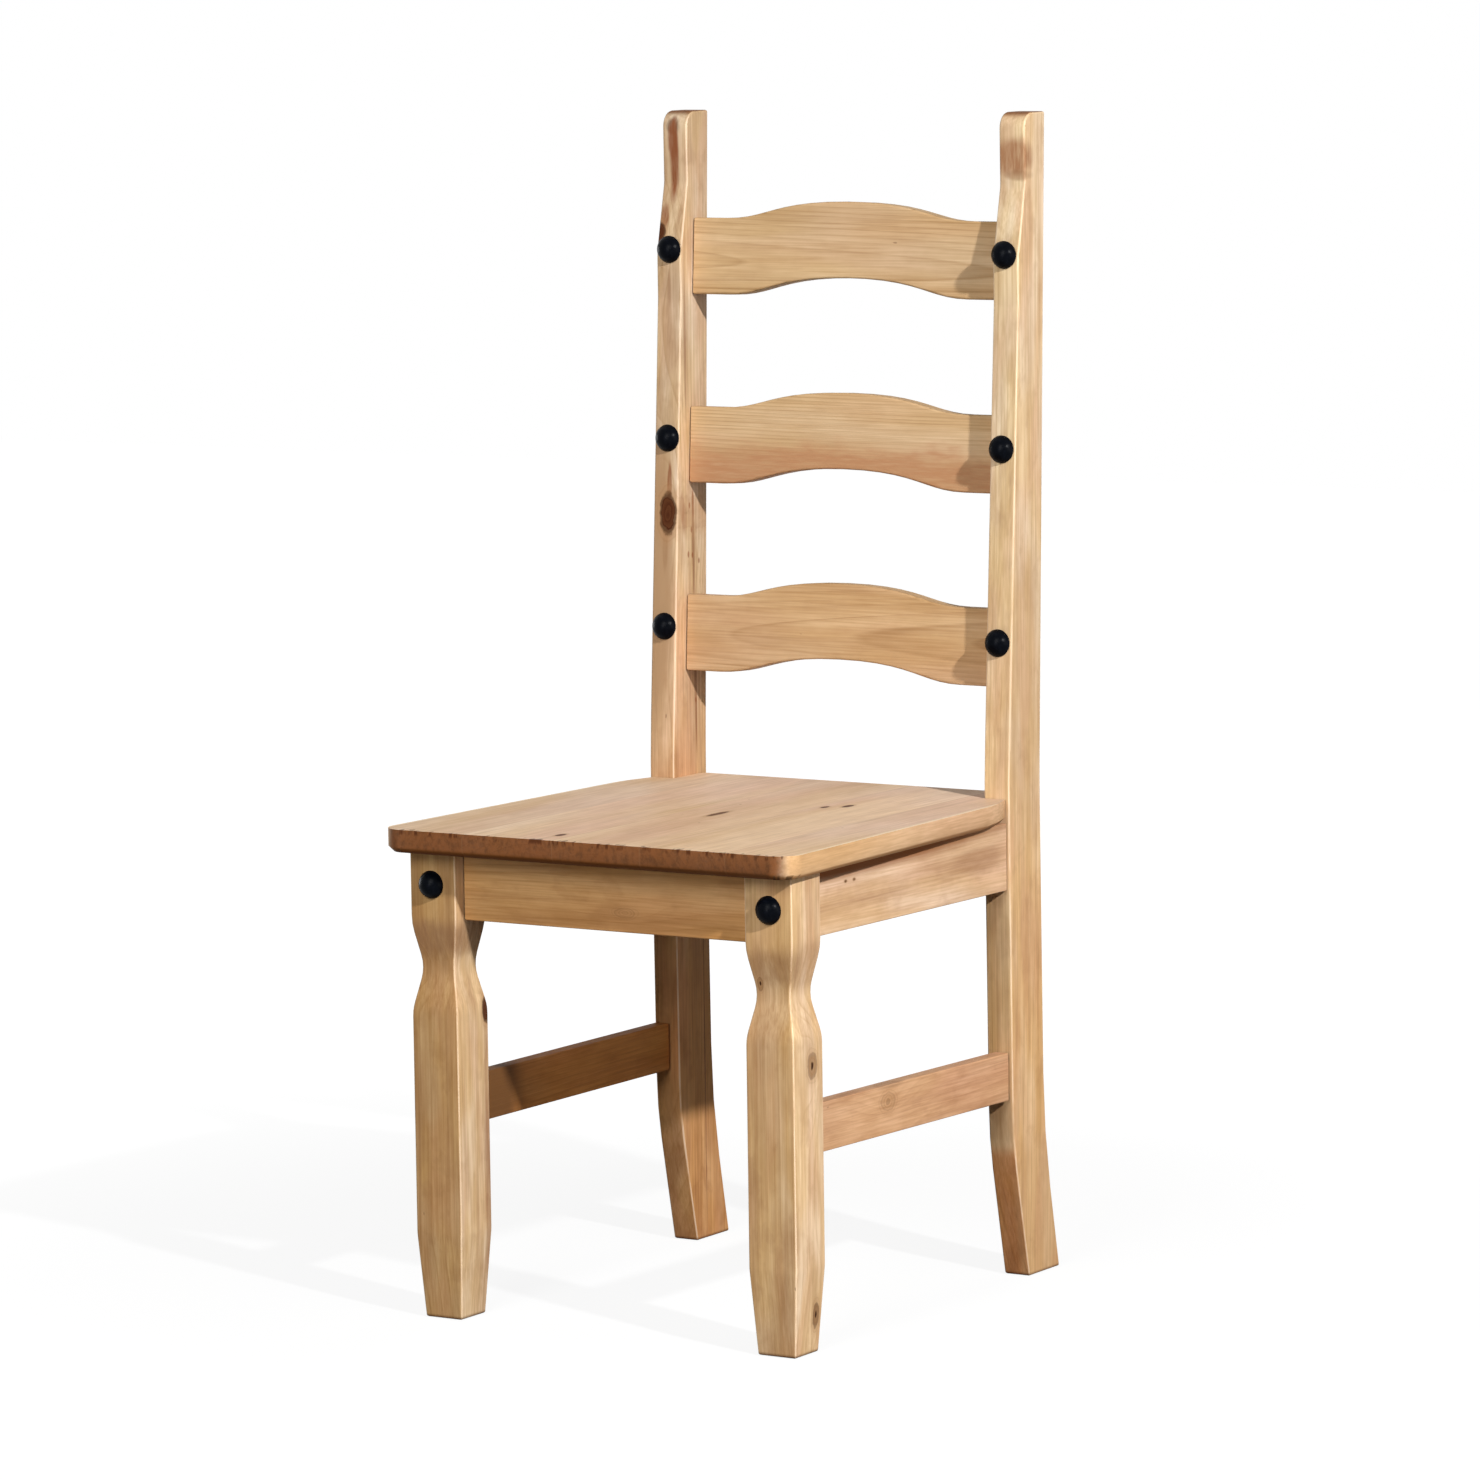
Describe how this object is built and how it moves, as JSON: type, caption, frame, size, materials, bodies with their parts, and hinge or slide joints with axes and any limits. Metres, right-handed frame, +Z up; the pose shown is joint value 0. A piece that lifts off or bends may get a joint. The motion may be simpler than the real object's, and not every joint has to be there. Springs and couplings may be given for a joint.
{
  "type": "chair",
  "caption": "Solid pine ladder-back dining chair with bowed back slats, cyma-necked front legs, side stretchers and black domed nail studs.",
  "frame": {"origin": "centre of the chair's footprint box, on the floor", "axes": "+Z up, +X the viewer's right when facing the chair's front, -Y the way the chair faces"},
  "size_m": [0.4304, 0.5026, 1.07],
  "materials": {
    "pine_post_left": "waxed",
    "pine_post_right": "waxed",
    "pine_leg_left": "waxed",
    "pine_leg_right": "waxed",
    "pine_front_apron": "waxed",
    "pine_rails": "waxed",
    "pine_slats": "waxed",
    "pine_seat": "waxed",
    "unfinished_pine": "bare",
    "beech_dowel": "bare",
    "black_stud": "satin black",
    "zinc_screw": "zinc plated"
  },
  "bodies": {
    "root": {"rear_post_left": "pine_post_left", "rear_post_right": "pine_post_right", "front_leg_left": "pine_leg_left", "front_leg_right": "pine_leg_right", "front_apron": "pine_front_apron", "rear_apron": "pine_rails", "side_apron_left": "pine_rails", "side_apron_right": "pine_rails", "side_stretcher_left": "pine_rails", "side_stretcher_right": "pine_rails", "back_slat_bottom": "pine_slats", "back_slat_middle": "pine_slats", "back_slat_top": "pine_slats", "seat_board": "pine_seat", "corner_block_front_left": "unfinished_pine", "corner_block_front_right": "unfinished_pine", "corner_block_rear_left": "unfinished_pine", "corner_block_rear_right": "unfinished_pine", "leg_stud_left": "black_stud", "leg_stud_right": "black_stud", "post_stud_left_bottom": "black_stud", "post_stud_left_middle": "black_stud", "post_stud_left_top": "black_stud", "post_stud_right_bottom": "black_stud", "post_stud_right_middle": "black_stud", "post_stud_right_top": "black_stud", "front_apron_dowel_left_lower": "beech_dowel", "front_apron_dowel_left_upper": "beech_dowel", "front_apron_dowel_right_lower": "beech_dowel", "front_apron_dowel_right_upper": "beech_dowel", "rear_apron_dowel_left_lower": "beech_dowel", "rear_apron_dowel_left_upper": "beech_dowel", "rear_apron_dowel_right_lower": "beech_dowel", "rear_apron_dowel_right_upper": "beech_dowel", "side_apron_dowel_left_front_lower": "beech_dowel", "side_apron_dowel_left_front_upper": "beech_dowel", "side_apron_dowel_left_rear_lower": "beech_dowel", "side_apron_dowel_left_rear_upper": "beech_dowel", "side_apron_dowel_right_front_lower": "beech_dowel", "side_apron_dowel_right_front_upper": "beech_dowel", "side_apron_dowel_right_rear_lower": "beech_dowel", "side_apron_dowel_right_rear_upper": "beech_dowel", "seat_screw_front_left": "zinc_screw", "seat_screw_front_right": "zinc_screw", "seat_screw_rear_left": "zinc_screw", "seat_screw_rear_right": "zinc_screw"}
  },
  "joints": []
}
